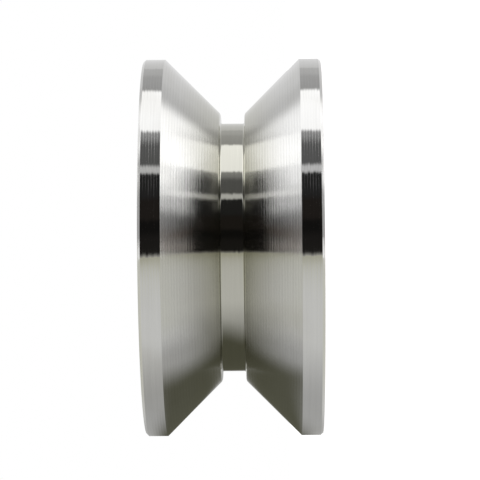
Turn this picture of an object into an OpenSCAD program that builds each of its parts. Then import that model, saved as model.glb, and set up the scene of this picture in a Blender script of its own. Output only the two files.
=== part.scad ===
// V-groove guide wheel on two sealed deep-groove ball bearings.
// One turned steel body carries the V groove. A bearing is pressed into each end against a
// central rib and kept in by an internal retaining ring, and a sleeve between the two inner
// rings takes the clamping force of the axle bolt.
// The axle runs along Z, the origin is the wheel's centre, and all sizes are in millimetres.

/* [Wheel body] */
// Outer diameter over the two rims
wheel_d = 60; // [56:0.5:80]
// Width between the two end faces
wheel_w = 28; // [26:0.5:32]
// Width of the flat land on each rim
rim_land = 3; // [2:0.1:4.5]
// Chamfer between each land and its end face
rim_chamfer = 0.4; // [0.2:0.05:1]
// Included angle of the V groove
groove_angle = 90; // [84:1:110]
// Width of the relief slot below the V
slot_w = 3.8; // [3:0.1:5]
// Depth of the relief slot below the V
slot_depth = 1.55; // [1:0.05:3]
// Radius in the corners of the slot's floor
slot_fillet = 0.3; // [0.1:0.05:0.6]
// Length of the break on the edge between each flank and the slot
neck_break = 0.2; // [0.1:0.05:0.4]

/* [Bearing pockets] */
// Depth of each bearing's outer face below the end face of the wheel
bearing_recess = 2.5; // [2.3:0.1:3]
// Bore of the rib that parts the two bearings
rib_bore_d = 27; // [25:0.5:28.5]
// Chamfer at the mouth of each pocket
mouth_chamfer = 0.5; // [0.2:0.1:0.8]
// Radial gap between a pocket and the bearing in it
housing_fit = 0.02; // [0:0.01:0.05]

/* [Bearing rings] */
// Bore of the bearings, which is the axle's diameter
bearing_bore_d = 12; // [10:0.5:13]
// Outer diameter of the bearings
bearing_od = 32; // [31:0.5:34]
// Width of one bearing
bearing_w = 10; // [9.5:0.1:10.8]
// Radius on the ring corners that meet the axle and the pocket
ring_corner = 0.6; // [0.3:0.1:0.8]
// Distance of both rings' shoulders from the pitch circle of the balls
shoulder_offset = 1.9; // [1.6:0.1:2.2]
// Radius of the raceways as a share of the ball diameter
race_conformity = 0.52; // [0.515:0.005:0.54]
// Radius of the small round on each ring's inner edges
land_break = 0.2; // [0.1:0.05:0.3]

/* [Balls] */
// Diameter of one ball
ball_d = 5.953; // [5.5:0.001:6.05]
// Number of balls in each bearing
ball_count = 7; // [5:1:7]
// Gap between a ball and each raceway
ball_gap = 0.08; // [0.04:0.01:0.12]

/* [Ribbon cages] */
// Thickness of the pressed sheet
cage_t = 0.5; // [0.3:0.05:0.6]
// Radial width of the ribbon
cage_w = 2.3; // [2.1:0.1:2.8]
// Gap between a ball and its pocket
pocket_gap = 0.08; // [0.04:0.01:0.12]
// Diameter of a rivet's shank
rivet_d = 1; // [0.8:0.1:1.2]
// Diameter of a rivet's heads
rivet_head_d = 1.7; // [1.5:0.1:2]
// Height of a rivet's heads
rivet_head_h = 0.3; // [0.2:0.05:0.4]
// Radial gap between a rivet and its hole
rivet_fit = 0.03; // [0.01:0.01:0.05]

/* [Seals] */
// Thickness of the moulded seal
seal_t = 0.8; // [0.6:0.05:0.9]
// Depth of the seal's outer face below the bearing's face
seal_inset = 0.4; // [0.3:0.05:0.5]
// Depth of the seat groove in the outer ring, from the ring's shoulder
seal_seat_depth = 1; // [0.8:0.05:1.2]
// Height of the lip that keeps the seal in its seat
seal_keep = 0.4; // [0.2:0.05:0.5]
// Depth of the land on the inner ring that the seal's lip runs round
seal_land_step = 0.35; // [0.2:0.05:0.5]
// Running gap between the seal's lip and that land
seal_lip_gap = 0.1; // [0.05:0.05:0.2]
// Depth of the shallow dished ring in the seal's outer face
seal_dish = 0.2; // [0.1:0.05:0.3]
// Width of the raised rims inside and outside the dished ring
seal_rim_w = 0.9; // [0.6:0.1:1.2]
// Thickness of the seal's lip
seal_lip_t = 0.4; // [0.3:0.05:0.5]
// Gap between a seal and its seat
seal_fit = 0.04; // [0.02:0.01:0.06]

/* [Retaining rings] */
// Thickness of a retaining ring
clip_t = 1.2; // [1:0.1:1.3]
// Play of a retaining ring in its groove
clip_play = 0.1; // [0.04:0.02:0.2]
// Depth of the ring groove in the pocket's wall
clip_groove_depth = 0.85; // [0.6:0.05:1]
// Radial width of the ring opposite its gap
clip_back_w = 3.2; // [2.8:0.1:3.6]
// Radial width of the ring beside its lugs
clip_end_w = 2.1; // [1.8:0.1:2.6]
// Reach of the lugs, from the ring's outer edge
lug_reach = 5.4; // [4.8:0.1:5.8]
// Diameter of the plier holes in the lugs
lug_hole_d = 2; // [1.6:0.1:2.2]
// Wall round a plier hole
lug_wall = 1.35; // [1.1:0.05:1.5]
// Width of the gap between the lugs
lug_gap = 6.5; // [5:0.5:8]
// Radius that blends each lug into the ring
lug_fillet = 1.5; // [1:0.1:2.5]

/* [Spacer sleeve] */
// Outer diameter of the sleeve between the inner rings
spacer_d = 17; // [15.5:0.5:17.5]
// Radial clearance of the sleeve round the axle
spacer_clearance = 0.1; // [0.05:0.05:0.3]

/* [Hidden] */
$fn = 96;
over = 1;                       // how far a cut runs past the surface that it opens

wheel_r = wheel_d / 2;
half_w = wheel_w / 2;
flank_angle = groove_angle / 2;
mouth_z = half_w - rim_chamfer - rim_land;
neck_r = wheel_r - (mouth_z - slot_w / 2) / tan(flank_angle);
root_r = neck_r - slot_depth;

pocket_r = bearing_od / 2 + housing_fit;
bearing_face_z = half_w - bearing_recess;
bearing_mid_z = bearing_face_z - bearing_w / 2;
rib_half_w = bearing_face_z - bearing_w;

bore_r = bearing_bore_d / 2;
ring_r = bearing_od / 2;
pitch_r = (bore_r + ring_r) / 2;
ball_r = ball_d / 2;
race_r = race_conformity * ball_d;
inner_shoulder_r = pitch_r - shoulder_offset;
outer_shoulder_r = pitch_r + shoulder_offset;
inner_race_centre_r = pitch_r - ball_r - ball_gap + race_r;
outer_race_centre_r = pitch_r + ball_r + ball_gap - race_r;
ball_step = 360 / ball_count;

seal_out_z = bearing_w / 2 - seal_inset;
seal_in_z = seal_out_z - seal_t;
seal_seat_r = outer_shoulder_r + seal_seat_depth;
seal_mouth_r = seal_seat_r - seal_keep;
seal_land_r = inner_shoulder_r - seal_land_step;

clip_groove_w = clip_t + clip_play;
clip_groove_r = pocket_r + clip_groove_depth;
clip_r = clip_groove_r - clip_play / 2;
clip_bore_r = clip_r - (clip_back_w + clip_end_w) / 2;
clip_bore_shift = (clip_back_w - clip_end_w) / 2;
lug_r = lug_hole_d / 2 + lug_wall;
lug_side = 0.2;                 // the flat that the gap leaves on each lug
lug_y = lug_gap / 2 + lug_r - lug_side;
lug_x = sqrt(pow(clip_r - lug_reach + lug_r, 2) - pow(lug_y, 2));

// The blend of a lug is an arc that touches the lug's circle and the ring's bore. Its centre
// is found from the triangle that it makes with the centres of those two.
clip_bore_centre = [clip_bore_shift, 0];
lug_centre = [lug_x, lug_y];
lug_offset = lug_centre - clip_bore_centre;
blend_far = clip_bore_r - lug_fillet;
blend_near = lug_r + lug_fillet;
blend_turn = acos((pow(blend_far, 2) + lug_offset * lug_offset - pow(blend_near, 2))
    / (2 * blend_far * norm(lug_offset)));
blend_angle = atan2(lug_offset.y, lug_offset.x) + blend_turn;
blend_ray = [cos(blend_angle), sin(blend_angle)];
blend_centre = clip_bore_centre + blend_far * blend_ray;

// Each bearing has its letter, the side of the wheel that it sits in, and the angle of its
// first ball. The balls of the two bearings are set half a step apart.
LETTER = 0;
SIDE = 1;
FIRST_BALL = 2;
BEARINGS = [["a", 1, 0], ["b", -1, ball_step / 2]];

function bearing_node(letter, piece) = str("bearing_", letter, "_", piece);
function ball_node(letter, index) = bearing_node(letter, str("ball_", index));

// ---- Sections: x is the radius and y the distance along the axle ----

// What a convex corner of radius r loses, with its tip at the origin and the solid in +x, +y
module round_off(r) {
    difference() {
        translate([-over, -over]) square(r + over);
        translate([r, r]) circle(r);
        translate([r, -over]) square([over, r + over]);
        translate([-over, r]) square([r + over, over]);
    }
}

// A plain ring section between two radii, centred on its width
module band(inner_r, outer_r, width) {
    translate([inner_r, -width / 2]) square([outer_r - inner_r, width]);
}

// Mirrored copies on both sides of the middle plane
module both_sides() {
    for (side = [0, 1]) mirror([0, side]) children();
}

// The V, the broken edges at its neck and the relief slot, as one cut
module groove_cut() {
    side = [
        [wheel_r + over, mouth_z + over * tan(flank_angle)],
        [neck_r + neck_break * cos(flank_angle), slot_w / 2 + neck_break * sin(flank_angle)],
        [neck_r - neck_break, slot_w / 2],
        [root_r, slot_w / 2]
    ];
    last = len(side) - 1;
    difference() {
        polygon(concat(side, [for (i = [last:-1:0]) [side[i].x, -side[i].y]]));
        both_sides() translate([root_r, slot_w / 2]) mirror([0, 1])
            difference() {
                square(slot_fillet);
                translate([slot_fillet, slot_fillet]) circle(slot_fillet);
            }
    }
}

// One bearing pocket with its ring groove and chamfered mouth, on the +y side
module pocket_cut() {
    translate([0, rib_half_w]) square([pocket_r, half_w - rib_half_w + over]);
    translate([0, bearing_face_z]) square([clip_groove_r, clip_groove_w]);
    polygon([
        [0, half_w - mouth_chamfer],
        [pocket_r, half_w - mouth_chamfer],
        [pocket_r + mouth_chamfer + over, half_w + over],
        [0, half_w + over]
    ]);
}

module wheel_section() {
    difference() {
        polygon([
            [rib_bore_d / 2, -half_w],
            [wheel_r - rim_chamfer, -half_w],
            [wheel_r, rim_chamfer - half_w],
            [wheel_r, half_w - rim_chamfer],
            [wheel_r - rim_chamfer, half_w],
            [rib_bore_d / 2, half_w]
        ]);
        groove_cut();
        both_sides() pocket_cut();
    }
}

// The seat that the seal snaps into, on the +y side of the outer ring
module seal_seat_cut() {
    translate([outer_shoulder_r - over, seal_in_z - seal_fit])
        square([seal_seat_depth + over, seal_t + 2 * seal_fit]);
    translate([outer_shoulder_r - over, seal_out_z])
        square([seal_mouth_r - outer_shoulder_r + over, seal_inset + over]);
}

module outer_ring_section() {
    difference() {
        band(outer_shoulder_r, ring_r, bearing_w);
        translate([outer_race_centre_r, 0]) circle(race_r);
        both_sides() {
            seal_seat_cut();
            translate([ring_r, bearing_w / 2]) mirror([1, 0]) mirror([0, 1]) round_off(ring_corner);
            translate([seal_mouth_r, bearing_w / 2]) mirror([0, 1]) round_off(land_break);
        }
    }
}

module inner_ring_section() {
    difference() {
        band(bore_r, inner_shoulder_r, bearing_w);
        translate([inner_race_centre_r, 0]) circle(race_r);
        both_sides() {
            translate([seal_land_r, seal_in_z - seal_lip_gap])
                square([seal_land_step + over, bearing_w]);
            translate([bore_r, bearing_w / 2]) mirror([0, 1]) round_off(ring_corner);
            translate([seal_land_r, bearing_w / 2]) mirror([1, 0]) mirror([0, 1])
                round_off(land_break);
        }
    }
}

// A seal: a bead in the seat, a dished web, and a lip round the inner ring's land
module seal_section() {
    bead_r = seal_seat_r - seal_fit;
    bead_z = seal_out_z - seal_fit;
    shoulder_r = seal_mouth_r - seal_fit;
    dish_outer_r = shoulder_r - seal_dish - seal_rim_w;
    lip_r = seal_land_r + seal_lip_gap;
    dish_inner_r = lip_r + seal_dish + seal_rim_w;
    polygon([
        [lip_r, seal_in_z],
        [bead_r, seal_in_z],
        [bead_r, bead_z],
        [shoulder_r, bead_z],
        [shoulder_r - seal_dish, seal_out_z],
        [dish_outer_r, seal_out_z],
        [dish_outer_r - seal_dish, seal_out_z - seal_dish],
        [dish_inner_r + seal_dish, seal_out_z - seal_dish],
        [dish_inner_r, seal_out_z],
        [lip_r + seal_dish, seal_out_z],
        [lip_r + seal_dish, seal_in_z + seal_lip_t],
        [lip_r, seal_in_z + seal_lip_t]
    ]);
}

// ---- Pieces ----

// Moves a piece of a bearing to its place in the wheel, its own +z towards the end face
module at_bearing(bearing) {
    translate([0, 0, bearing[SIDE] * bearing_mid_z])
        mirror([0, 0, bearing[SIDE] < 0 ? 1 : 0])
            children();
}

// The same for a piece of the ball set, with its first ball at the bearing's own angle
module at_ball_set(bearing) {
    at_bearing(bearing) rotate([0, 0, bearing[FIRST_BALL]]) children();
}

// Copies on the pitch circle, the first one turned from X by the given angle
module on_pitch_circle(start) {
    for (i = [0:ball_count - 1])
        rotate([0, 0, start + i * ball_step]) translate([pitch_r, 0, 0]) children();
}

module wheel_body() {
    color("silver") rotate_extrude() wheel_section();
}

module spacer_sleeve() {
    color("gray") rotate_extrude() band(bore_r + spacer_clearance, spacer_d / 2, 2 * rib_half_w);
}

module outer_ring() {
    color("lightsteelblue") rotate_extrude() outer_ring_section();
}

module inner_ring() {
    color("lightsteelblue") rotate_extrude() inner_ring_section();
}

module seal() {
    color("dimgray") rotate_extrude() seal_section();
}

// Half of the ribbon cage: a flat ribbon that is domed over each ball and holed for the rivets
module cage_half() {
    color("darkkhaki")
    difference() {
        intersection() {
            union() {
                cylinder(r = pitch_r + cage_w, h = cage_t);
                on_pitch_circle(0) sphere(ball_r + pocket_gap + cage_t);
            }
            rotate_extrude()
                translate([pitch_r - cage_w / 2, 0]) square([cage_w, ball_d]);
        }
        on_pitch_circle(0) sphere(ball_r + pocket_gap);
        on_pitch_circle(ball_step / 2)
            translate([0, 0, -over]) cylinder(d = rivet_d + 2 * rivet_fit, h = cage_t + 2 * over);
    }
}

// The rivets that hold the two halves of a cage together, with a domed head at each end
module cage_rivets() {
    dome_r = (pow(rivet_head_d / 2, 2) + pow(rivet_head_h, 2)) / (2 * rivet_head_h);
    color("khaki")
    on_pitch_circle(ball_step / 2) rotate_extrude() {
        translate([0, -cage_t]) square([rivet_d / 2, 2 * cage_t]);
        both_sides() intersection() {
            translate([0, cage_t]) square([rivet_head_d / 2, rivet_head_h]);
            translate([0, cage_t + rivet_head_h - dome_r]) circle(dome_r, $fn = 240);
        }
    }
}

module ball(index) {
    color("white")
        rotate([0, 0, (index - 1) * ball_step]) translate([pitch_r, 0, 0]) sphere(ball_r);
}

// A lug and the web that blends it into the ring, on the +y side of the gap
module lug() {
    translate(lug_centre) cylinder(r = lug_r, h = clip_t);
    linear_extrude(clip_t) difference() {
        polygon([lug_centre, blend_centre, clip_bore_centre + clip_bore_r * blend_ray,
                 clip_bore_centre + (clip_r - clip_end_w / 2) / norm(lug_offset) * lug_offset]);
        translate(blend_centre) circle(lug_fillet);
    }
}

// A sprung ring that is widest opposite its gap, with a holed lug at each end
module retaining_ring() {
    color("darkslategray")
    translate([0, 0, bearing_w / 2 + clip_play / 2]) difference() {
        union() {
            linear_extrude(clip_t) difference() {
                circle(clip_r);
                translate(clip_bore_centre) circle(clip_bore_r);
            }
            both_sides() lug();
        }
        translate([0, -lug_gap / 2, -over]) cube([clip_r + over, lug_gap, clip_t + 2 * over]);
        both_sides() translate([lug_x, lug_y, -over])
            cylinder(d = lug_hole_d, h = clip_t + 2 * over, $fn = 32);
    }
}

// ---- What is drawn ----

wheel_body();
spacer_sleeve();
for (b = BEARINGS) {
    letter = b[LETTER];
    at_bearing(b) retaining_ring();
    at_bearing(b) outer_ring();
    at_bearing(b) inner_ring();
    at_bearing(b) seal();
    at_bearing(b) mirror([0, 0, 1]) seal();
    at_ball_set(b) cage_half();
    at_ball_set(b) mirror([0, 0, 1]) cage_half();
    at_ball_set(b) cage_rivets();
    for (i = [1:ball_count])
        at_ball_set(b) ball(i);
}
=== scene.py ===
"""Looks of a V-groove guide wheel that runs on two sealed ball bearings.

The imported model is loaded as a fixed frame. The turned, ground, moulded and stamped pieces are
rebuilt in place as fine meshes, every piece gets its finish, and a small studio is set up round
the wheel. Lengths are in metres. The axle runs along Z and the wheel's centre is the origin.
"""

import logging
import math
from collections.abc import Callable
from dataclasses import dataclass, replace
from enum import Enum

import bmesh
import bpy
import numpy as np
from mathutils import Matrix, Vector


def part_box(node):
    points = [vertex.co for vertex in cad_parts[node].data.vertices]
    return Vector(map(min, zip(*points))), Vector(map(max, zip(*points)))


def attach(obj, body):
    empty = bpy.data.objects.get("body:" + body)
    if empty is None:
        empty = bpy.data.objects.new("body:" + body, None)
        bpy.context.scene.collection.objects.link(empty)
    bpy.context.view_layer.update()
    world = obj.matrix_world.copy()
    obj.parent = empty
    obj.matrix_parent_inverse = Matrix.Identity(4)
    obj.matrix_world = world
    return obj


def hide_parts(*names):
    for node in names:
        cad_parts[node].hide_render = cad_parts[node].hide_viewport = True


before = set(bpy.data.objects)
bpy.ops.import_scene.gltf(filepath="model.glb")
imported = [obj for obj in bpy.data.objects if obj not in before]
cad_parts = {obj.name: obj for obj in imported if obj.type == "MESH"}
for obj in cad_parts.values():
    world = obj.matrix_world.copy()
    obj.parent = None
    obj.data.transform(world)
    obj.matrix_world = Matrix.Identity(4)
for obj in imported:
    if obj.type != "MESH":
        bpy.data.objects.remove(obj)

LOG = logging.getLogger("v_groove_wheel")
MM = 1e-3
MICRON = 1e-6
WHITE = (1.0, 1.0, 1.0, 1.0)
BLACK = (0.0, 0.0, 0.0, 1.0)
QUARTER_TURN = 0.25

Pair = tuple[float, float]
Colour = tuple[float, float, float, float]
Settings = dict[str, object]
Sockets = dict[str | int, object]


# ---- Shader trees ----


def both_ways(operation: str) -> tuple[Callable[..., "Sock"], Callable[..., "Sock"]]:
    """Returns an operator's method and its reflected form, which add a Math node."""
    return (
        lambda sock, other: sock.math(operation, other),
        lambda sock, other: sock.math(operation, other, swapped=True),
    )


class Sock:
    """A value on a node's output. The operators add the Math nodes that work a number out."""

    __add__, __radd__ = both_ways("ADD")
    __sub__, __rsub__ = both_ways("SUBTRACT")
    __mul__, __rmul__ = both_ways("MULTIPLY")
    __truediv__, __rtruediv__ = both_ways("DIVIDE")

    def __init__(self, tree: "ShaderTree", output: bpy.types.NodeSocket) -> None:
        """Keeps the tree that new nodes go to and the output that carries the value."""
        self.tree = tree
        self.output = output

    def math(self, operation: str, other: "Value" = 0.0, swapped: bool = False) -> "Sock":
        """Adds a Math node that works on self and other, or on other and self if swapped."""
        first, second = (other, self) if swapped else (self, other)
        return self.tree.add("ShaderNodeMath", {"operation": operation}, {0: first, 1: second})

    def __abs__(self) -> "Sock":
        """Returns the size of self without its sign."""
        return self.math("ABSOLUTE")

    def eased(self, low: float, high: float) -> "Sock":
        """Returns a mask with soft ends, 0 at low and 1 at high, which may be below low."""
        settings = {"interpolation_type": "SMOOTHSTEP"}
        return self.tree.add("ShaderNodeMapRange", settings, {0: self, 1: low, 2: high})

    def spread(self, low: float, high: float) -> "Sock":
        """Returns low where self is 0 and high where it is 1."""
        return low + (high - low) * self


Value = Sock | float


class ShaderTree:
    """The node tree of a material or a world."""

    def __init__(self, owner: bpy.types.Material | bpy.types.World) -> None:
        """Empties the owner's node tree."""
        owner.use_nodes = True
        self.nodes = owner.node_tree.nodes
        self.links = owner.node_tree.links
        self.nodes.clear()

    def add(self, kind: str, settings: Settings, sockets: Sockets, output: str | int = 0) -> Sock:
        """Adds one node of any type.

        Args:
            kind: The node's type.
            settings: The node's own settings, which are set before its sockets.
            sockets: A constant or a Sock for each input, by the input's name or number.
            output: The output that is handed back.

        Returns:
            The node's chosen output.
        """
        node = self.nodes.new(kind)
        for name, value in settings.items():
            setattr(node, name, value)
        for key, value in sockets.items():
            if isinstance(value, Sock):
                self.links.new(value.output, node.inputs[key])
            else:
                node.inputs[key].default_value = value
        return Sock(self, node.outputs[output])

    def point(self) -> Sock:
        """Returns the place of the shaded point in its piece's own axes."""
        return self.add("ShaderNodeTexCoord", {}, {}, "Object")

    def axes(self, vector: Sock, letters: str = "XYZ") -> list[Sock]:
        """Returns a vector's parts along the axes with these letters."""
        return [self.add("ShaderNodeSeparateXYZ", {}, {0: vector}, axis) for axis in letters]

    def end(self, kind: str, surface: Sock) -> None:
        """Adds the tree's output node, of the given type, fed by a shader."""
        node = self.nodes.new(kind)
        self.links.new(surface.output, node.inputs["Surface"])

    def mix(self, factor: Value, first: Sock | Colour, second: Sock | Colour) -> Sock:
        """Returns the first colour where the factor is 0 and the second where it is 1."""
        sockets = {"Factor": factor, 6: first, 7: second}
        return self.add("ShaderNodeMix", {"data_type": "RGBA"}, sockets, 2)

    def shade(self, colour: Sock | Colour, amount: Value) -> Sock:
        """Returns a colour scaled by a number."""
        sockets = {0: colour if isinstance(colour, Sock) else colour[:3], "Scale": amount}
        return self.add("ShaderNodeVectorMath", {"operation": "SCALE"}, sockets)

    def noise(self, vector: Sock, scale: float = 1.0, detail: float = 2.0) -> Sock:
        """Returns a noise of about 0.5, with scale features in each unit of the vector."""
        sockets = {"Vector": vector, "Scale": scale, "Detail": detail}
        return self.add("ShaderNodeTexNoise", {}, sockets, "Fac")

    def bump(self, height: Sock, distance: float) -> Sock:
        """Returns the normal of a height whose unit is this distance."""
        sockets = {"Strength": 1.0, "Distance": distance, "Height": height}
        return self.add("ShaderNodeBump", {}, sockets)

    def principled(self, sockets: Sockets) -> None:
        """Ends a material's tree with a Principled shader that has these sockets."""
        shader = self.add("ShaderNodeBsdfPrincipled", {}, sockets)
        self.end("ShaderNodeOutputMaterial", shader)


class Around:
    """Coordinates of a surface that was turned or ground round the axle."""

    SIDE_SHIFT = 0.013

    def __init__(self, tree: ShaderTree) -> None:
        """Adds the nodes that split a point into its bearing, its radius and its height."""
        self.tree = tree
        self.point = tree.point()
        x, y, z = tree.axes(self.point)
        square = x * x + y * y
        self.radius = square.math("SQRT")
        self.cosine = x / self.radius
        self.sine = y / self.radius
        self.height = z
        # This grows along cylinders, cones and faces alike. The shift gives the wheel's two
        # sides marks of their own.
        self.along = self.radius + abs(z) + self.SIDE_SHIFT * z.math("SIGN")

    def noise(self, turns: float, length: float, seed: float, detail: float = 1.0) -> Sock:
        """Adds a noise that is drawn out round the axle.

        Args:
            turns: Features in each radian round the axle.
            length: The length of a feature along the section.
            seed: Parts this noise from others.
            detail: Finer layers on top of the first.

        Returns:
            The noise, from 0 to 1.
        """
        sockets = {
            0: self.cosine * turns + seed,
            1: self.sine * turns - seed,
            2: self.along / length,
        }
        vector = self.tree.add("ShaderNodeCombineXYZ", {}, sockets)
        return self.tree.noise(vector, detail=detail)


# ---- Finishes ----


@dataclass(frozen=True)
class Finish:
    """A finish with a name. Each kind of finish says how its shader is built."""

    name: str

    def fill(self, tree: ShaderTree) -> None:
        """Builds the shader."""
        raise NotImplementedError

    def material(self) -> bpy.types.Material:
        """Returns the finish's material, which is made once."""
        made = bpy.data.materials.get(self.name)
        if made is None:
            made = bpy.data.materials.new(self.name)
            self.fill(ShaderTree(made))
        return made


@dataclass(frozen=True)
class TurnedSteel(Finish):
    """Steel as it comes off the lathe: fine rings of feed marks with a soft sheen across.

    Pairs in metres are radii or heights between which something changes: painted shade darkens
    and yellows the colour deep in the groove near the neck, the end faces are hazier, and only the
    flanks have ridges.
    """

    clean: Colour = (0.75, 0.748, 0.74, 1.0)
    stained: Colour = (0.69, 0.685, 0.665, 1.0)
    # The colour of the painted shade deep in the groove, darker and yellower than the clean steel.
    deep: Colour = (0.6, 0.594, 0.535, 1.0)
    deep_r: Pair = (20.5 * MM, 28.0 * MM)
    deep_z: Pair = (9.5 * MM, 8.5 * MM)
    face_z: Pair = (13.7 * MM, 13.95 * MM)
    flank_in: Pair = (20.8 * MM, 21.5 * MM)
    flank_out: Pair = (29.9 * MM, 29.7 * MM)
    face_haze: float = 0.12
    scratch_share: float = 0.4
    roughness: float = 0.075
    uneven: float = 0.02
    anisotropy: float = 0.95
    feed: float = 0.412 * MM
    chatter: float = 0.4 * MICRON
    ridge: float = 2.5
    ridge_shade: float = 0.018

    def fill(self, tree: ShaderTree) -> None:
        """Builds the shader."""
        around = Around(tree)
        marks = around.noise(turns=1.2, length=self.feed, seed=3.1)
        scratches = around.noise(turns=4.0, length=self.feed / 4, seed=7.7, detail=2.0)
        bloom = tree.noise(around.point, scale=70.0, detail=3.0)
        lines = (1.0 - self.scratch_share) * marks + self.scratch_share * scratches
        tint = tree.mix(bloom.eased(0.4, 0.7), self.clean, self.stained)
        # Painted shade: deep in the groove, towards the neck, the steel is mixed towards the
        # darker, yellower deep colour.
        shallow = around.radius.eased(*self.deep_r)
        deep = (1.0 - shallow) * abs(around.height).eased(*self.deep_z)
        tint = tree.mix(deep, tint, self.deep)
        flank = around.radius.eased(*self.flank_in) * around.radius.eased(*self.flank_out)
        ridges = flank * (around.height * (math.tau / self.feed)).math("SINE")
        haze = self.face_haze * abs(around.height).eased(*self.face_z)
        shade = lines.spread(0.92, 1.04) + self.ridge_shade * ridges
        tree.principled({
            "Base Color": tree.shade(tint, shade),
            "Metallic": 1.0,
            "Roughness": self.roughness + self.uneven * (lines + bloom - 1.0) + haze,
            "Anisotropic": self.anisotropy,
            "Anisotropic Rotation": QUARTER_TURN,
            "Normal": tree.bump(scratches + self.ridge * ridges, self.chatter),
        })


@dataclass(frozen=True)
class GroundSteel(Finish):
    """Bearing steel, ground and polished, with hair-fine grinding lines."""

    clean: Colour = (0.72, 0.725, 0.73, 1.0)
    oiled: Colour = (0.6, 0.59, 0.56, 1.0)
    grind: float = 0.07 * MM
    film_gloss: float = 0.06
    depth: float = 1.5 * MICRON

    def fill(self, tree: ShaderTree) -> None:
        """Builds the shader."""
        around = Around(tree)
        lines = around.noise(turns=3.0, length=self.grind, seed=5.5, detail=2.0)
        film = tree.noise(around.point, scale=160.0, detail=3.0)
        tint = tree.mix(film.eased(0.45, 0.75), self.clean, self.oiled)
        tree.principled({
            "Base Color": tree.shade(tint, lines.spread(0.93, 1.07)),
            "Metallic": 1.0,
            "Roughness": lines.spread(0.16, 0.24) + self.film_gloss * film,
            "Anisotropic": 0.6,
            "Anisotropic Rotation": QUARTER_TURN,
            "Normal": tree.bump(lines, self.depth),
        })


@dataclass(frozen=True)
class LappedSteel(Finish):
    """Balls lapped to a mirror, with a faint film of grease."""

    clean: Colour = (0.8, 0.8, 0.81, 1.0)
    greased: Colour = (0.7, 0.68, 0.62, 1.0)

    def fill(self, tree: ShaderTree) -> None:
        """Builds the shader."""
        film = tree.noise(tree.point(), scale=420.0, detail=3.0)
        tree.principled({
            "Base Color": tree.mix(film.eased(0.4, 0.8), self.clean, self.greased),
            "Metallic": 1.0,
            "Roughness": film.eased(0.45, 0.85).spread(0.04, 0.14),
        })


@dataclass(frozen=True)
class PressedSheet(Finish):
    """Pressed and tumbled sheet steel, with small dents and a grease film."""

    clean: Colour = (0.62, 0.6, 0.56, 1.0)
    dull: Colour = (0.45, 0.42, 0.36, 1.0)
    gloss: Pair = (0.3, 0.46)
    dent: float = 12.0 * MICRON

    def fill(self, tree: ShaderTree) -> None:
        """Builds the shader."""
        point = tree.point()
        dents = tree.noise(point, scale=2600.0, detail=2.0)
        film = tree.noise(point, scale=350.0, detail=3.0)
        tree.principled({
            "Base Color": tree.mix(film.eased(0.35, 0.75), self.clean, self.dull),
            "Metallic": 1.0,
            "Roughness": film.spread(*self.gloss),
            "Normal": tree.bump(dents, self.dent),
        })


@dataclass(frozen=True)
class MouldedRubber(Finish):
    """Matte nitrile rubber with a fine moulded grain and a little talc."""

    rubber: Colour = (0.028, 0.028, 0.03, 1.0)
    talc: Colour = (0.07, 0.068, 0.064, 1.0)
    grain_gloss: float = 0.1
    wipe_share: float = 0.3
    depth: float = 14.0 * MICRON

    def fill(self, tree: ShaderTree) -> None:
        """Builds the shader."""
        around = Around(tree)
        grain = tree.noise(around.point, scale=5200.0, detail=2.0)
        dust = tree.noise(around.point, scale=240.0, detail=4.0)
        wipes = around.noise(turns=5.0, length=0.6 * MM, seed=2.3)
        veil = dust.eased(0.45, 0.8) * wipes.eased(0.3, 0.7)
        height = (1.0 - self.wipe_share) * grain + self.wipe_share * wipes
        tree.principled({
            "Base Color": tree.mix(veil, self.rubber, self.talc),
            "Roughness": dust.spread(0.47, 0.67) + self.grain_gloss * grain,
            "Specular IOR Level": 0.45,
            "Normal": tree.bump(height, self.depth),
        })


@dataclass(frozen=True)
class PhosphatedSteel(Finish):
    """Dark phosphated and oiled spring steel that is rubbed bright along its edges."""

    coat: Colour = (0.05, 0.05, 0.053, 1.0)
    bare: Colour = (0.42, 0.41, 0.4, 1.0)
    depth: float = 10.0 * MICRON

    def fill(self, tree: ShaderTree) -> None:
        """Builds the shader."""
        point = tree.point()
        normal = tree.add("ShaderNodeTexCoord", {}, {}, "Normal")
        facing = abs(tree.axes(normal, "Z")[0])
        crystals = tree.noise(point, scale=3800.0, detail=3.0)
        patches = tree.noise(point, scale=420.0, detail=3.0)
        edge = facing.eased(0.15, 0.45) * facing.eased(0.98, 0.8)
        rubbed = edge * patches.eased(0.35, 0.6)
        coat = tree.shade(self.coat, patches.spread(0.7, 1.3))
        tree.principled({
            "Base Color": tree.mix(rubbed, coat, self.bare),
            "Metallic": rubbed.spread(0.35, 0.95),
            "Roughness": crystals.spread(0.32, 0.57),
            "Normal": tree.bump(crystals, self.depth),
        })


# ---- Ring sections ----


@dataclass(frozen=True)
class FeedMarks:
    """The shallow rings that a lathe tool leaves.

    Attributes:
        pitch: How far apart they are.
        depth: How deep the deepest is.
        crest: How wide the torn crest between two marks is.
    """

    pitch: float
    depth: float
    crest: float = 0.0


@dataclass(frozen=True)
class Corner:
    """A corner of a ring section, with the edge that leaves it.

    Attributes:
        r: Distance from the axle.
        z: Height along the axle.
        blend: Radius that rounds the corner.
        hollow: Radius of the edge, if it is scooped out and not straight.
        marks: Feed marks along the edge.
    """

    r: float
    z: float
    blend: float = 0.0
    hollow: float = 0.0
    marks: FeedMarks | None = None


def both_halves(upper: list[Corner], closing: Corner) -> list[Corner]:
    """Adds the mirror image of the upper half of a section.

    Args:
        upper: The corners above the middle plane, in order.
        closing: Holds the hollow and marks of the edge that crosses back to the first corner.

    Returns:
        The corners of the whole section, in order.
    """
    edges = [closing, *upper[:-1]]
    lower = [replace(e, r=c.r, z=-c.z, blend=c.blend) for c, e in zip(upper, edges)]
    return upper + lower[::-1]


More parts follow.
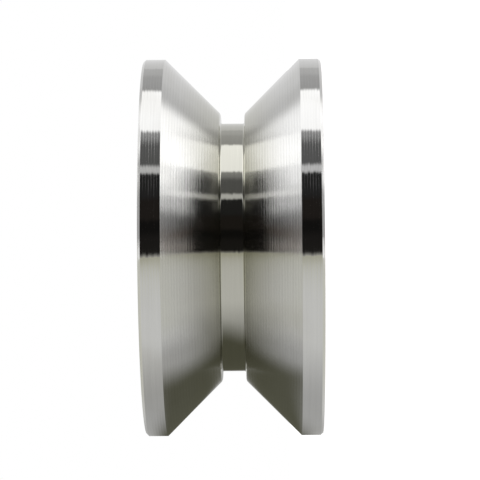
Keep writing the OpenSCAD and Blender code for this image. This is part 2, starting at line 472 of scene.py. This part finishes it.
class Section:
    """A closed ring section in short edges, with the true normal at both ends of each edge.

    Attributes:
        ARC_STEP: The most that an arc turns along one edge.
        ARC_EDGES: The fewest edges of an arc.
        DEPTHS: The shallowest and the deepest feed mark, as shares of the full depth.
        TORN: How far the torn crests lean, from the least to the most.
    """

    ARC_STEP = math.radians(15.0)
    ARC_EDGES = 3
    DEPTHS = (0.9, 1.0)
    TORN = (math.radians(22.0), math.radians(25.5))

    def __init__(self, corners: list[Corner], seed: int = 1) -> None:
        """Traces the corners, which go round with the solid on their left.

        Args:
            corners: The section's corners.
            seed: Seeds the small differences between feed marks.
        """
        self.points: list[Pair] = []
        self.starts: list[Pair] = []
        self.ends: list[Pair] = []
        self.marks: list[int] = []
        self.mark = 0
        self.random = np.random.default_rng(seed)
        places = [Vector((c.r, c.z)) for c in corners]
        count = len(corners)
        directions = [(places[(i + 1) % count] - places[i]).normalized() for i in range(count)]
        turns = [self._turn(directions[i - 1], directions[i]) for i in range(count)]
        trims = [c.blend * math.tan(abs(turn) / 2) for c, turn in zip(corners, turns)]
        for i, corner in enumerate(corners):
            ahead = (i + 1) % count
            if corner.blend > 0:
                before = directions[i - 1]
                entry = places[i] - before * trims[i]
                self._arc(entry, self._outward(before), turns[i], corner.blend)
            start = places[i] + directions[i] * trims[i]
            end = places[ahead] - directions[i] * trims[ahead]
            if corner.hollow > 0:
                self._scoop(start, end, corner.hollow)
            elif corner.marks is not None:
                self._turned(start, end, corner.marks)
            else:
                normal = self._outward(directions[i])
                self._edge(start, normal, normal)

    @staticmethod
    def _outward(direction: Vector) -> Vector:
        """Returns the normal that points out of the solid beside an edge."""
        return Vector((direction.y, -direction.x))

    @staticmethod
    def _turn(before: Vector, after: Vector) -> float:
        """Returns the angle from one direction to the next, positive to the left."""
        return math.atan2(before.x * after.y - before.y * after.x, before.dot(after))

    def _edge(self, start: Vector, normal: Vector, next_normal: Vector) -> None:
        """Adds an edge that leaves a point, with the normals at its two ends."""
        self.points.append(tuple(start))
        self.starts.append(tuple(normal))
        self.ends.append(tuple(next_normal))
        self.marks.append(self.mark)

    def _arc(self, entry: Vector, normal: Vector, turn: float, radius: float) -> None:
        """Adds an arc as edges.

        Args:
            entry: Where the arc begins.
            normal: The normal there.
            turn: How far the normal turns along the arc, positive for an outer corner.
            radius: The arc's radius.
        """
        side = math.copysign(radius, turn)
        centre = entry - normal * side
        steps = max(self.ARC_EDGES, math.ceil(abs(turn) / self.ARC_STEP))
        normals = [Matrix.Rotation(turn * k / steps, 2) @ normal for k in range(steps + 1)]
        for here, ahead in zip(normals, normals[1:]):
            self._edge(centre + here * side, here, ahead)

    def _scoop(self, start: Vector, end: Vector, radius: float) -> None:
        """Adds a hollow arc between two points."""
        chord = end - start
        half = math.asin(chord.length / 2 / radius)
        normal = Matrix.Rotation(half, 2) @ self._outward(chord.normalized())
        self._arc(start, normal, -2 * half, radius)

    def _turned(self, start: Vector, end: Vector, marks: FeedMarks) -> None:
        """Adds a straight edge with feed marks, each a shallow scallop between two crests."""
        run = end - start
        count = max(1, round(run.length / marks.pitch))
        direction = run.normalized()
        normal = self._outward(direction)
        pitch = run.length / count
        for k in range(count):
            self.mark = max(self.marks) + 1
            depth = marks.depth * self.random.uniform(*self.DEPTHS)
            width = pitch - marks.crest
            tilt = Matrix.Rotation(4 * depth / width, 2)
            crest = start + direction * pitch * k
            self._edge(crest, tilt @ normal, normal)
            middle = crest + direction * (width / 2) - normal * depth
            self._edge(middle, normal, tilt.transposed() @ normal)
            if marks.crest > 0:
                lean = self.random.uniform(*self.TORN) * self.random.choice((-1, 1))
                torn = Matrix.Rotation(lean, 2) @ normal
                self._edge(crest + direction * width, torn, torn)
        self.mark = 0


def new_piece(name: str, mesh: bpy.types.Mesh) -> bpy.types.Object:
    """Puts a mesh in the scene.

    Args:
        name: The piece's name.
        mesh: Its mesh, in place.

    Returns:
        The new object.
    """
    piece = bpy.data.objects.new(name, mesh)
    bpy.context.scene.collection.objects.link(piece)
    return piece


def chatter(marks: int, angles: np.ndarray, lean: float) -> np.ndarray:
    """Works out how the surface in each feed mark leans round the axle.

    Args:
        marks: The number of feed marks. Number 0 stands for plain edges.
        angles: Bearings round the axle.
        lean: The usual size of the lean, as an angle.

    Returns:
        The lean at each bearing, in a column for each mark.
    """
    random = np.random.default_rng(marks)
    waves = (5, 13, 23, 37)
    leans = np.zeros((len(angles), marks + 1))
    for wave in waves:
        phases = random.uniform(0.0, math.tau, marks + 1)
        leans += np.sin(wave * angles[:, None] + phases)
    leans[:, 0] = 0.0
    return leans * lean / math.sqrt(len(waves) / 2)


def lathe(name: str, section: Section, steps: int, lean: float = 0.0) -> bpy.types.Object:
    """Turns a section round the axle.

    Args:
        name: The piece's name.
        section: The section.
        steps: Faces round the axle.
        lean: How far the surface in the feed marks leans round the axle.

    Returns:
        The new piece, with the section's true normals.
    """
    rim = np.array(section.points)
    count = len(rim)
    angles = np.linspace(0.0, math.tau, steps, endpoint=False)
    turned = np.roll(angles, -1)

    def spun(pairs: np.ndarray, bearings: np.ndarray, aside: np.ndarray | float) -> np.ndarray:
        """Places radius and height pairs at each bearing, moved aside round the axle."""
        cosine, sine = np.cos(bearings)[:, None], np.sin(bearings)[:, None]
        x = pairs[:, 0] * cosine - aside * sine
        y = pairs[:, 0] * sine + aside * cosine
        return np.stack([x, y, np.broadcast_to(pairs[:, 1], x.shape)], -1)

    column = np.arange(steps)[:, None] * count
    next_column = np.roll(column, -1, axis=0)
    here = np.arange(count)
    ahead = np.roll(here, -1)
    faces = np.stack(
        [column + here, next_column + here, next_column + ahead, column + ahead], -1
    )
    starts, ends = np.array(section.starts), np.array(section.ends)
    leans = chatter(max(section.marks), angles, lean)[:, section.marks]
    next_leans = np.roll(leans, -1, axis=0)

    normals = np.stack(
        [
            spun(starts, angles, leans),
            spun(starts, turned, next_leans),
            spun(ends, turned, next_leans),
            spun(ends, angles, leans),
        ],
        axis=2,
    )
    mesh = bpy.data.meshes.new(name)
    points = spun(rim, angles, 0.0).reshape(-1, 3)
    mesh.from_pydata(points.tolist(), [], faces.reshape(-1, 4).tolist())
    mesh.shade_smooth()
    mesh.normals_split_custom_set(normals.reshape(-1, 3).tolist())
    return new_piece(name, mesh)


def softened(name: str, node: str, width: float) -> bpy.types.Object:
    """Copies a node's solid and breaks its sharp edges.

    Args:
        name: The new piece's name.
        node: The CAD node.
        width: The width of the broken edges.

    Returns:
        The new piece.
    """
    flat, sharp = math.radians(0.5), math.radians(30.0)
    form = bmesh.new()
    form.from_mesh(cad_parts[node].data)
    bmesh.ops.remove_doubles(form, verts=form.verts, dist=MICRON)
    bmesh.ops.dissolve_limit(form, angle_limit=flat, verts=form.verts, edges=form.edges)
    edges = [e for e in form.edges if e.calc_face_angle(0.0) > sharp]
    bmesh.ops.bevel(
        form, geom=edges, offset=width, segments=3, profile=0.5, affect="EDGES",
        clamp_overlap=True,
    )
    mesh = bpy.data.meshes.new(name)
    form.to_mesh(mesh)
    form.free()
    mesh.shade_smooth()
    piece = new_piece(name, mesh)
    weighted = piece.modifiers.new("flat_faces_stay_flat", "WEIGHTED_NORMAL")
    weighted.weight = 100
    return piece


def fit(piece: bpy.types.Object, node: str, body: str, finish: Finish) -> None:
    """Gives a new piece its place in the frame and its finish.

    Args:
        piece: The new piece.
        node: The CAD node that it stands for.
        body: The CAD body that it rides on.
        finish: Its finish.
    """
    piece.data.materials.clear()
    piece.data.materials.append(finish.material())
    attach(piece, body)
    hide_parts(node)
    LOG.info("%s: %d faces, rides on %s", piece.name, len(piece.data.polygons), body)


def dress(node: str, finish: Finish) -> None:
    """Gives a carried-over CAD node a finish.

    Args:
        node: The node's name.
        finish: The finish.
    """
    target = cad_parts[node]
    for slot in target.material_slots:
        slot.material = finish.material()
    LOG.info("%s: finished in %s", node, finish.name)


# ---- The wheel's pieces ----


class Side(Enum):
    """The two ends of the wheel, each with its bearing's letter and its sign along Z."""

    UPPER = ("a", 1.0)
    LOWER = ("b", -1.0)

    def __init__(self, letter: str, sign: float) -> None:
        """Keeps the letter in the names of this end's pieces, and the sign of z there."""
        self.letter = letter
        self.sign = sign


@dataclass
class WheelBody:
    """The turned steel body: V groove, relief slot, bearing pockets and ring grooves."""

    rim_land: float = 3.0 * MM
    rim_chamfer: float = 0.4 * MM
    edge_break: float = 0.05 * MM
    flank_angle: float = math.radians(45.0)
    slot_w: float = 3.8 * MM
    slot_depth: float = 1.55 * MM
    slot_fillet: float = 0.3 * MM
    neck_break: float = 0.2 * MM
    rib_break: float = 0.15 * MM
    pocket_r: float = 16.02 * MM
    mouth_chamfer: float = 0.5 * MM
    bearing_face_z: float = 11.5 * MM
    ring_groove_w: float = 1.3 * MM
    ring_groove_depth: float = 0.85 * MM
    rib_bore_r: float = 13.5 * MM
    rib_half_w: float = 1.5 * MM
    land_marks: FeedMarks = FeedMarks(pitch=0.43 * MM, depth=12.0 * MICRON, crest=0.011 * MM)
    flank_marks: FeedMarks = FeedMarks(pitch=0.16 * MM, depth=6.0 * MICRON)
    lower_flank_marks: FeedMarks = FeedMarks(pitch=0.16 * MM, depth=7.6 * MICRON)
    root_marks: FeedMarks = FeedMarks(pitch=0.35 * MM, depth=1.5 * MICRON)
    face_marks: FeedMarks = FeedMarks(pitch=0.7 * MM, depth=7.0 * MICRON)
    lean: float = math.radians(0.12)
    steps: int = 168

    def section(self) -> Section:
        """Returns the body's section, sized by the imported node's box."""
        low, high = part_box("wheel_body")
        rim_r = min(high.x, high.y, -low.x, -low.y)
        half_w = high.z
        mouth_z = half_w - self.rim_chamfer - self.rim_land
        slot_z = self.slot_w / 2
        neck_r = rim_r - (mouth_z - slot_z) / math.tan(self.flank_angle)
        root_r = neck_r - self.slot_depth
        groove_r = self.pocket_r + self.ring_groove_depth
        groove_z = self.bearing_face_z + self.ring_groove_w
        edge = self.edge_break
        upper = [
            Corner(root_r, slot_z, self.slot_fillet),
            Corner(neck_r - self.neck_break, slot_z, edge),
            Corner(
                neck_r + self.neck_break * math.cos(self.flank_angle),
                slot_z + self.neck_break * math.sin(self.flank_angle),
                edge,
                marks=self.flank_marks,
            ),
            Corner(rim_r, mouth_z, edge, marks=self.land_marks),
            Corner(rim_r, half_w - self.rim_chamfer, edge),
            Corner(rim_r - self.rim_chamfer, half_w, edge, marks=self.face_marks),
            Corner(self.pocket_r + self.mouth_chamfer, half_w, edge),
            Corner(self.pocket_r, half_w - self.mouth_chamfer, edge),
            Corner(self.pocket_r, groove_z, edge),
            Corner(groove_r, groove_z, edge),
            Corner(groove_r, self.bearing_face_z, edge),
            Corner(self.pocket_r, self.bearing_face_z, edge),
            Corner(self.pocket_r, self.rib_half_w, edge),
            Corner(self.rib_bore_r, self.rib_half_w, self.rib_break),
        ]
        corners = both_halves(upper, Corner(root_r, 0.0, marks=self.root_marks))
        lower = next(i for i, c in enumerate(corners) if c.z < 0 and c.marks == self.flank_marks)
        corners[lower] = replace(corners[lower], marks=self.lower_flank_marks)
        return Section(corners)

    def build(self) -> None:
        """Builds the body and gives it its finish."""
        piece = lathe("wheel_body_turned", self.section(), self.steps, self.lean)
        fit(piece, "wheel_body", "wheel", TurnedSteel("turned_steel_finish"))


@dataclass
class SpacerSleeve:
    """The sleeve that parts the two inner rings."""

    edge_break: float = 0.15 * MM
    bore_r: float = 6.1 * MM
    marks: FeedMarks = FeedMarks(pitch=0.2 * MM, depth=3.0 * MICRON)
    steps: int = 160

    def build(self) -> None:
        """Builds the sleeve and gives it its finish."""
        low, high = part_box("spacer_sleeve")
        outer_r = min(high.x, -low.x)
        upper = [
            Corner(outer_r, high.z, self.edge_break, marks=self.marks),
            Corner(self.bore_r, high.z, self.edge_break),
        ]
        section = Section(both_halves(upper, Corner(outer_r, 0.0)))
        piece = lathe("spacer_sleeve_turned", section, self.steps)
        finish = TurnedSteel(
            "sleeve_steel_finish",
            clean=(0.6, 0.6, 0.6, 1.0),
            stained=(0.5, 0.49, 0.47, 1.0),
            deep_z=(0.0, -1.0 * MM),
            roughness=0.34,
            feed=self.marks.pitch,
            chatter=4.0 * MICRON,
        )
        fit(piece, "spacer_sleeve", "axle_group", finish)


@dataclass
class Bearing:
    """One sealed deep-groove ball bearing."""

    side: Side
    bore_r: float = 6.0 * MM
    outer_r: float = 16.0 * MM
    half_w: float = 5.0 * MM
    middle_z: float = 6.5 * MM
    race_r: float = 3.09556 * MM
    race_half_w: float = 2.413 * MM
    inner_shoulder_r: float = 9.1 * MM
    outer_shoulder_r: float = 12.9 * MM
    ring_corner: float = 0.6 * MM
    land_break: float = 0.2 * MM
    edge_break: float = 0.05 * MM
    seat_r: float = 13.9 * MM
    mouth_r: float = 13.5 * MM
    seat_low_z: float = 3.76 * MM
    seat_high_z: float = 4.64 * MM
    seal_land_r: float = 8.75 * MM
    seal_land_z: float = 3.7 * MM
    seal_low_z: float = 3.8 * MM
    seal_high_z: float = 4.6 * MM
    seal_fit: float = 0.04 * MM
    lip_gap: float = 0.1 * MM
    lip_t: float = 0.4 * MM
    dish: float = 0.2 * MM
    rim_w: float = 0.9 * MM
    ball_count: int = 7
    steps: int = 240

    def node(self, piece: str) -> str:
        """Returns the name of the CAD node of one of this bearing's pieces."""
        return f"bearing_{self.side.letter}_{piece}"

    def placed(self, corners: list[Corner], facing: float) -> Section:
        """Moves a section from the bearing's middle to its place in the wheel.

        Args:
            corners: The corners as for a bearing in the middle, with +z to the end face.
            facing: 1 to keep that direction, -1 to turn the section over.

        Returns:
            The section in the wheel.
        """
        centre = self.side.sign * self.middle_z
        if facing > 0:
            return Section([replace(c, z=centre + c.z) for c in corners])
        edges = [corners[-1], *corners[:-1]]
        flipped = [
            replace(e, r=c.r, z=centre - c.z, blend=c.blend) for c, e in zip(corners, edges)
        ]
        return Section(flipped[::-1])

    def outer_ring(self) -> list[Corner]:
        """Returns the corners of the outer ring."""
        edge = self.edge_break
        upper = [
            Corner(self.outer_r, self.half_w, self.ring_corner),
            Corner(self.mouth_r, self.half_w, self.land_break),
            Corner(self.mouth_r, self.seat_high_z),
            Corner(self.seat_r, self.seat_high_z, edge),
            Corner(self.seat_r, self.seat_low_z, edge),
            Corner(self.outer_shoulder_r, self.seat_low_z, edge),
            Corner(self.outer_shoulder_r, self.race_half_w, hollow=self.race_r),
        ]
        return both_halves(upper, Corner(self.outer_r, 0.0))

    def inner_ring(self) -> list[Corner]:
        """Returns the corners of the inner ring."""
        edge = self.edge_break
        upper = [
            Corner(self.inner_shoulder_r, self.race_half_w),
            Corner(self.inner_shoulder_r, self.seal_land_z, edge),
            Corner(self.seal_land_r, self.seal_land_z, edge),
            Corner(self.seal_land_r, self.half_w, self.land_break),
            Corner(self.bore_r, self.half_w, self.ring_corner),
        ]
        return both_halves(upper, Corner(self.bore_r, 0.0, hollow=self.race_r))

    def seal(self) -> list[Corner]:
        """Returns the corners of the seal that faces +z."""
        bead_r = self.seat_r - self.seal_fit
        bead_z = self.seal_high_z - self.seal_fit
        shoulder_r = self.mouth_r - self.seal_fit
        rim_r = shoulder_r - self.dish
        dish_outer_r = rim_r - self.rim_w
        lip_r = self.seal_land_r + self.lip_gap
        hub_r = lip_r + self.dish
        dish_inner_r = hub_r + self.rim_w
        top, floor = self.seal_high_z, self.seal_high_z - self.dish
        lip_z = self.seal_low_z + self.lip_t
        edge, soft = self.edge_break, 2 * self.edge_break
        return [
            Corner(lip_r, self.seal_low_z, edge),
            Corner(bead_r, self.seal_low_z, edge),
            Corner(bead_r, bead_z, edge),
            Corner(shoulder_r, bead_z, edge),
            Corner(rim_r, top, soft),
            Corner(dish_outer_r, top, soft),
            Corner(dish_outer_r - self.dish, floor, soft),
            Corner(dish_inner_r + self.dish, floor, soft),
            Corner(dish_inner_r, top, soft),
            Corner(hub_r, top, soft),
            Corner(hub_r, lip_z, edge),
            Corner(lip_r, lip_z, edge),
        ]

    def build(self) -> None:
        """Builds the rings and seals, and gives every piece of the bearing its finish."""
        ground = GroundSteel("bearing_steel_finish")
        rubber = MouldedRubber("seal_rubber_finish")
        rings = (
            ("outer_ring", self.outer_ring(), "wheel", "ground", "bearing_steel", ground),
            ("inner_ring", self.inner_ring(), "axle_group", "ground", "bearing_steel", ground),
            ("outer_seal", self.seal(), "wheel", "moulded", "seal_rubber", rubber),
            ("inner_seal", self.seal(), "wheel", "moulded", "seal_rubber", rubber),
        )
        for kind, corners, body, made, slot, finish in rings:
            facing = -self.side.sign if kind == "inner_seal" else self.side.sign
            node = self.node(kind)
            piece = lathe(f"{node}_{made}", self.placed(corners, facing), self.steps)
            fit(piece, node, body, finish)
        sheet = PressedSheet("cage_steel_finish")
        dress(self.node("cage_outer_half"), sheet)
        dress(self.node("cage_inner_half"), sheet)
        bright = (0.66, 0.65, 0.62, 1.0)
        rivet = PressedSheet("rivet_steel_finish", clean=bright, gloss=(0.24, 0.4))
        dress(self.node("cage_rivets"), rivet)
        lapped = LappedSteel("ball_steel_finish")
        for index in range(1, self.ball_count + 1):
            dress(self.node(f"ball_{index}"), lapped)


@dataclass
class RetainingRing:
    """The sprung ring that keeps a bearing in its pocket."""

    side: Side
    edge_break: float = 0.1 * MM

    def build(self) -> None:
        """Builds the ring and gives it its finish."""
        node = f"retaining_ring_{self.side.letter}"
        piece = softened(f"{node}_stamped", node, self.edge_break)
        fit(piece, node, "wheel", PhosphatedSteel("spring_steel_finish"))


# ---- Studio ----


def put_on_stage(
    name: str, mesh: bpy.types.Mesh, fill: Callable[[ShaderTree], None], unseen_by: tuple[str, ...]
) -> None:
    """Puts a part of the studio in the scene.

    Args:
        name: The name of the part and of its material.
        mesh: Its mesh, in place.
        fill: Builds its shader.
        unseen_by: The kinds of ray that pass through it.
    """
    material = bpy.data.materials.new(name)
    fill(ShaderTree(material))
    mesh.materials.append(material)
    part = new_piece(name, mesh)
    for ray in unseen_by:
        setattr(part, f"visible_{ray}", False)


@dataclass(frozen=True)
class Card:
    """An upright card of the light tent, with a soft box above and below it.

    Attributes:
        start: Where it begins, in degrees round the axle from -Y towards +X.
        level: How bright it is there.
        end_level: How bright it is where the next card begins.
        box: How bright its soft boxes are.
        foot: Degrees above and below the wheel where its soft boxes begin.
        crown: Degrees above and below the wheel where they end.
        top: How bright the tent is beyond them.
        tint: Its colour.
        feather: Degrees over which it runs into the card before it.
        rise: The share by which it brightens towards the soft boxes below and above it.
    """

    start: float
    level: float
    end_level: float
    box: float
    foot: float = 38.5
    crown: float = 90.0
    top: float = 0.45
    tint: tuple[float, float, float] = (1.0, 1.0, 1.0)
    feather: float = 2.0
    rise: Pair = (0.0, 0.0)


CARDS = (
    Card(-180.0, 1.3, 1.1, 1.1, top=1.1, feather=4.0),
    Card(-30.0, 1.15, 1.1, 0.5, tint=(1.0, 0.98, 0.9), feather=8.0),
    Card(-6.0, 0.014, 0.012, 0.85, 62.0, 77.0, 0.38, tint=(1.0, 0.92, 0.85), feather=7.0),
    Card(8.0, 0.007, 0.007, 0.55, 62.0, 77.0, 0.28, tint=(1.0, 0.95, 0.9), feather=6.0),
    Card(16.0, 0.016, 0.016, 0.7, 56.0, 67.0, 0.3, tint=(1.0, 0.85, 0.75), feather=4.0),
    Card(29.0, 0.018, 0.022, 1.5, 55.0, 67.0, 0.35, feather=4.0, rise=(0.0, 0.6)),
    Card(44.5, 0.6, 0.6, 1.9, 55.0, 69.0, feather=2.5, rise=(0.0, 0.6)),
    Card(49.5, 0.11, 0.115, 1.9, 51.0, 73.0, feather=3.0, rise=(0.0, 0.6)),
    Card(65.0, 0.21, 0.34, 2.0, 47.0, 72.0, feather=6.0, rise=(0.0, 0.6)),
    Card(73.0, 1.26, 1.35, 2.1, 44.0, 70.0, feather=3.0, rise=(0.3, 0.3)),
    Card(108.5, 0.4, 0.46, 1.5, crown=60.0, feather=4.0, rise=(0.8, 0.8)),
    Card(127.0, 0.52, 0.54, 1.4, crown=51.0, feather=6.0),
    Card(138.2, 0.67, 0.78, 0.9, crown=46.0, feather=2.0),
    Card(167.0, 0.8, 0.8, 0.6, feather=8.0),
)


@dataclass
class LightTent:
    """A round wall of light and dark cards that the polished steel mirrors.

    Angles are in degrees, and heights are measured both ways from the wheel. Beyond wall_top the
    cards run together over at least the blur. A card's rise is centred on rise_at, and upper_box
    is the brightness of the soft boxes above the wheel, as a share of those below it.
    """

    radius: float = 0.8
    wall_low: float = 7.0
    wall_top: float = 35.0
    rim: float = 87.0
    row_step: float = 2.0
    columns: int = 720
    box_feather: float = 7.0
    blur: float = 14.0
    rise_at: float = 20.0
    rise_feather: float = 24.0
    upper_box: float = 0.88
    cards: tuple[Card, ...] = CARDS

    def glow(self, bearing: float, height: float) -> np.ndarray:
        """Works out the wall's colour.

        Args:
            bearing: Degrees round the axle, from -180 to 180.
            height: Degrees above the wheel, negative below it.

        Returns:
            The colour.
        """
        starts = [c.start for c in self.cards] + [self.cards[0].start + 360.0]
        upper = int(height > 0)
        away = abs(height)
        blur = self.blur if away > self.wall_top else 0.0
        colour = np.zeros(3)
        for i, card in enumerate(self.cards):
            following = self.cards[(i + 1) % len(self.cards)]
            begun = self._step(bearing, starts[i], max(blur, card.feather))
            ended = self._step(bearing, starts[i + 1], max(blur, following.feather))
            along = (bearing - starts[i]) / (starts[i + 1] - starts[i])
            level = card.level + (card.end_level - card.level) * min(1.0, max(0.0, along))
            level *= 1.0 + card.rise[upper] * self._step(away, self.rise_at, self.rise_feather)
            box = card.box * (self.upper_box if upper else 1.0)
            level += (box - level) * self._step(away, card.foot, self.box_feather)
            level += (card.top - level) * self._step(away, card.crown, self.box_feather)
            colour += (begun - ended) * level * np.array(card.tint)
        return colour

    @staticmethod
    def _step(angle: float, edge: float, feather: float) -> float:
        """Returns 0 before an edge and 1 after it, eased over its feather."""
        if edge <= -180.0 or edge >= 180.0:
            return float(angle >= edge)
        t = min(1.0, max(0.0, (angle - edge) / feather + 0.5))
        return t * t * (3 - 2 * t)

    @staticmethod
    def fill(tree: ShaderTree) -> None:
        """Builds the shader, which shines in the mesh's own colours."""
        glow = tree.add("ShaderNodeAttribute", {"attribute_name": "glow"}, {}, "Color")
        tree.end("ShaderNodeOutputMaterial", tree.add("ShaderNodeEmission", {}, {0: glow}))

    def build(self) -> None:
        """Builds the wall, which only reflections and soft light see."""
        rising = np.arange(self.wall_low, self.rim + self.row_step / 2, self.row_step).tolist()
        rows = [-row for row in reversed(rising)] + rising
        bearings = np.linspace(-180.0, 180.0, self.columns, endpoint=False)
        turns = np.radians(bearings)
        places = np.stack([np.sin(turns), -np.cos(turns)], -1) * self.radius
        heights = [self.radius * math.tan(math.radians(row)) for row in rows]
        vertices = [(x, y, height) for height in heights for x, y in places.tolist()]
        colours = [(*self.glow(bearing, row), 1.0) for row in rows for bearing in bearings]
        here = np.arange(self.columns)
        ahead = np.roll(here, -1)
        low = np.arange(len(rows) - 1)[:, None] * self.columns
        high = low + self.columns
        faces = np.stack([low + here, low + ahead, high + ahead, high + here], -1)
        mesh = bpy.data.meshes.new("light_tent")
        mesh.from_pydata(vertices, [], faces.reshape(-1, 4).tolist())
        layer = mesh.attributes.new("glow", "FLOAT_COLOR", "POINT")
        layer.data.foreach_set("color", np.ravel(colours))
        put_on_stage("light_tent", mesh, self.fill, ("camera",))


@dataclass
class RimCard:
    """A glowing card under the rim, on the -X side, that only the steel mirrors.

    It dims towards -Y, and a shade on it stands for the wheel's own soft shadow: deep between the
    two lands, light under them, and drawn out towards +Y. Pairs say where a change begins and ends.
    """

    gap: float = 0.2 * MM
    reach_front: float = 0.34
    reach_back: float = 0.6
    half_width: float = 0.5
    near: Colour = (0.68, 0.68, 0.665, 1.0)
    wide: Colour = (0.665, 0.665, 0.6, 1.0)
    far: Colour = (0.465, 0.46, 0.375, 1.0)
    deep: Colour = (0.095, 0.095, 0.068, 1.0)
    wide_z: Pair = (16.0 * MM, 32.0 * MM)
    far_y: Pair = (-0.3, -0.03)
    shade_z: float = 1.7 * MM
    shade_draw: float = 0.4
    deep_away: Pair = (26.0 * MM, 11.0 * MM)
    deep_z: Pair = (14.0 * MM, 10.5 * MM)
    under_y: Pair = (-38.0 * MM, -16.0 * MM)
    under_z: Pair = (20.0 * MM, 14.0 * MM)
    under_dim: float = 0.35

    def fill(self, tree: ShaderTree) -> None:
        """Builds the shader."""
        y, z = tree.axes(tree.point(), "YZ")
        near = tree.mix(abs(z).eased(*self.wide_z), self.near, self.wide)
        colour = tree.mix(y.eased(*self.far_y), self.far, near)
        away = abs(z - self.shade_z) + (self.shade_draw * y).math("MAXIMUM", -1.0 * y)
        between = away.eased(*self.deep_away) * abs(z).eased(*self.deep_z)
        under = y.eased(*self.under_y) * abs(z).eased(*self.under_z)
        lit = tree.shade(colour, 1.0 - self.under_dim * under)
        glow = tree.add("ShaderNodeEmission", {}, {0: tree.mix(between, lit, self.deep)})
        tree.end("ShaderNodeOutputMaterial", glow)

    def build(self) -> None:
        """Builds the card."""
        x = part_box("wheel_body")[0].x - self.gap
        y0, y1, z = -self.reach_front, self.reach_back, self.half_width
        mesh = bpy.data.meshes.new("rim_card")
        corners = [(x, y0, -z), (x, y1, -z), (x, y1, z), (x, y0, z)]
        mesh.from_pydata(corners, [], [(0, 1, 2, 3)])
        put_on_stage("rim_card", mesh, self.fill, ("camera", "diffuse", "shadow"))


@dataclass
class Studio:
    """Floor, light and camera. The lens and its sensor are in millimetres."""

    floor_radius: float = 0.75
    floor_tone: Colour = (0.8, 0.8, 0.8, 1.0)
    floor_lift: float = 0.62
    fill: float = 0.9
    camera_distance: float = 0.429
    camera_elevation: float = math.radians(-0.757)
    camera_roll: float = math.radians(0.46)
    lens: float = 201.45
    sensor: float = 36.0
    shift: Pair = (0.0131, 0.0154)
    clip: Pair = (0.01, 20.0)

    @staticmethod
    def seen(tree: ShaderTree) -> Sock:
        """Returns 1 for rays that show the background: from the camera, by gloss or glass."""
        rays = [
            tree.add("ShaderNodeLightPath", {}, {}, name)
            for name in ("Is Camera Ray", "Is Glossy Ray", "Is Transmission Ray")
        ]
        return rays[0].math("MAXIMUM", rays[1].math("MAXIMUM", rays[2]))

    def fill_floor(self, tree: ShaderTree) -> None:
        """Builds the floor's shader, a matte one that glows where it is seen."""
        lift = (self.floor_lift, self.floor_lift, self.floor_lift, 1.0)
        tree.principled({
            "Base Color": self.floor_tone,
            "Roughness": 0.9,
            "Specular IOR Level": 0.0,
            "Emission Color": tree.mix(self.seen(tree), BLACK, lift),
            "Emission Strength": 1.0,
        })

    def build_floor(self) -> None:
        """Builds the pale floor that the wheel lies on."""
        floor_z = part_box("wheel_body")[0].z
        form = bmesh.new()
        bmesh.ops.create_circle(form, cap_ends=True, segments=96, radius=self.floor_radius)
        bmesh.ops.translate(form, verts=form.verts, vec=(0.0, 0.0, floor_z))
        mesh = bpy.data.meshes.new("floor")
        form.to_mesh(mesh)
        form.free()
        put_on_stage("floor", mesh, self.fill_floor, ("glossy", "diffuse", "shadow"))

    def build_world(self) -> None:
        """Sets the white world."""
        scene = bpy.context.scene
        scene.world = bpy.data.worlds.new("studio")
        tree = ShaderTree(scene.world)
        fill = (self.fill, self.fill, self.fill, 1.0)
        colour = tree.mix(self.seen(tree), fill, WHITE)
        tree.end("ShaderNodeOutputWorld", tree.add("ShaderNodeBackground", {}, {0: colour}))
        scene.view_settings.view_transform = "Standard"

    def build_camera(self) -> None:
        """Sets the camera square to the axle, with the wheel standing on its rim."""
        cam = bpy.data.cameras.new("camera")
        cam.lens = self.lens
        cam.sensor_width = self.sensor
        cam.shift_x, cam.shift_y = self.shift
        cam.clip_start, cam.clip_end = self.clip
        back = Vector((0.0, -math.cos(self.camera_elevation), math.sin(self.camera_elevation)))
        up = Vector((math.cos(self.camera_roll), 0.0, -math.sin(self.camera_roll)))
        right = up.cross(back).normalized()
        up = back.cross(right)
        holder = bpy.data.objects.new("camera", cam)
        holder.matrix_world = Matrix.Translation(back * self.camera_distance) @ (
            Matrix((right, up, back)).transposed().to_4x4()
        )
        bpy.context.scene.collection.objects.link(holder)
        bpy.context.scene.camera = holder

    def build(self) -> None:
        """Sets up the whole studio."""
        LightTent().build()
        RimCard().build()
        self.build_floor()
        self.build_world()
        self.build_camera()


def main() -> None:
    """Builds the wheel piece by piece and then the studio."""
    logging.basicConfig(level=logging.INFO, format="%(message)s")
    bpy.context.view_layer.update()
    WheelBody().build()
    SpacerSleeve().build()
    for side in Side:
        Bearing(side).build()
        RetainingRing(side).build()
    Studio().build()


if __name__ == "__main__":
    main()
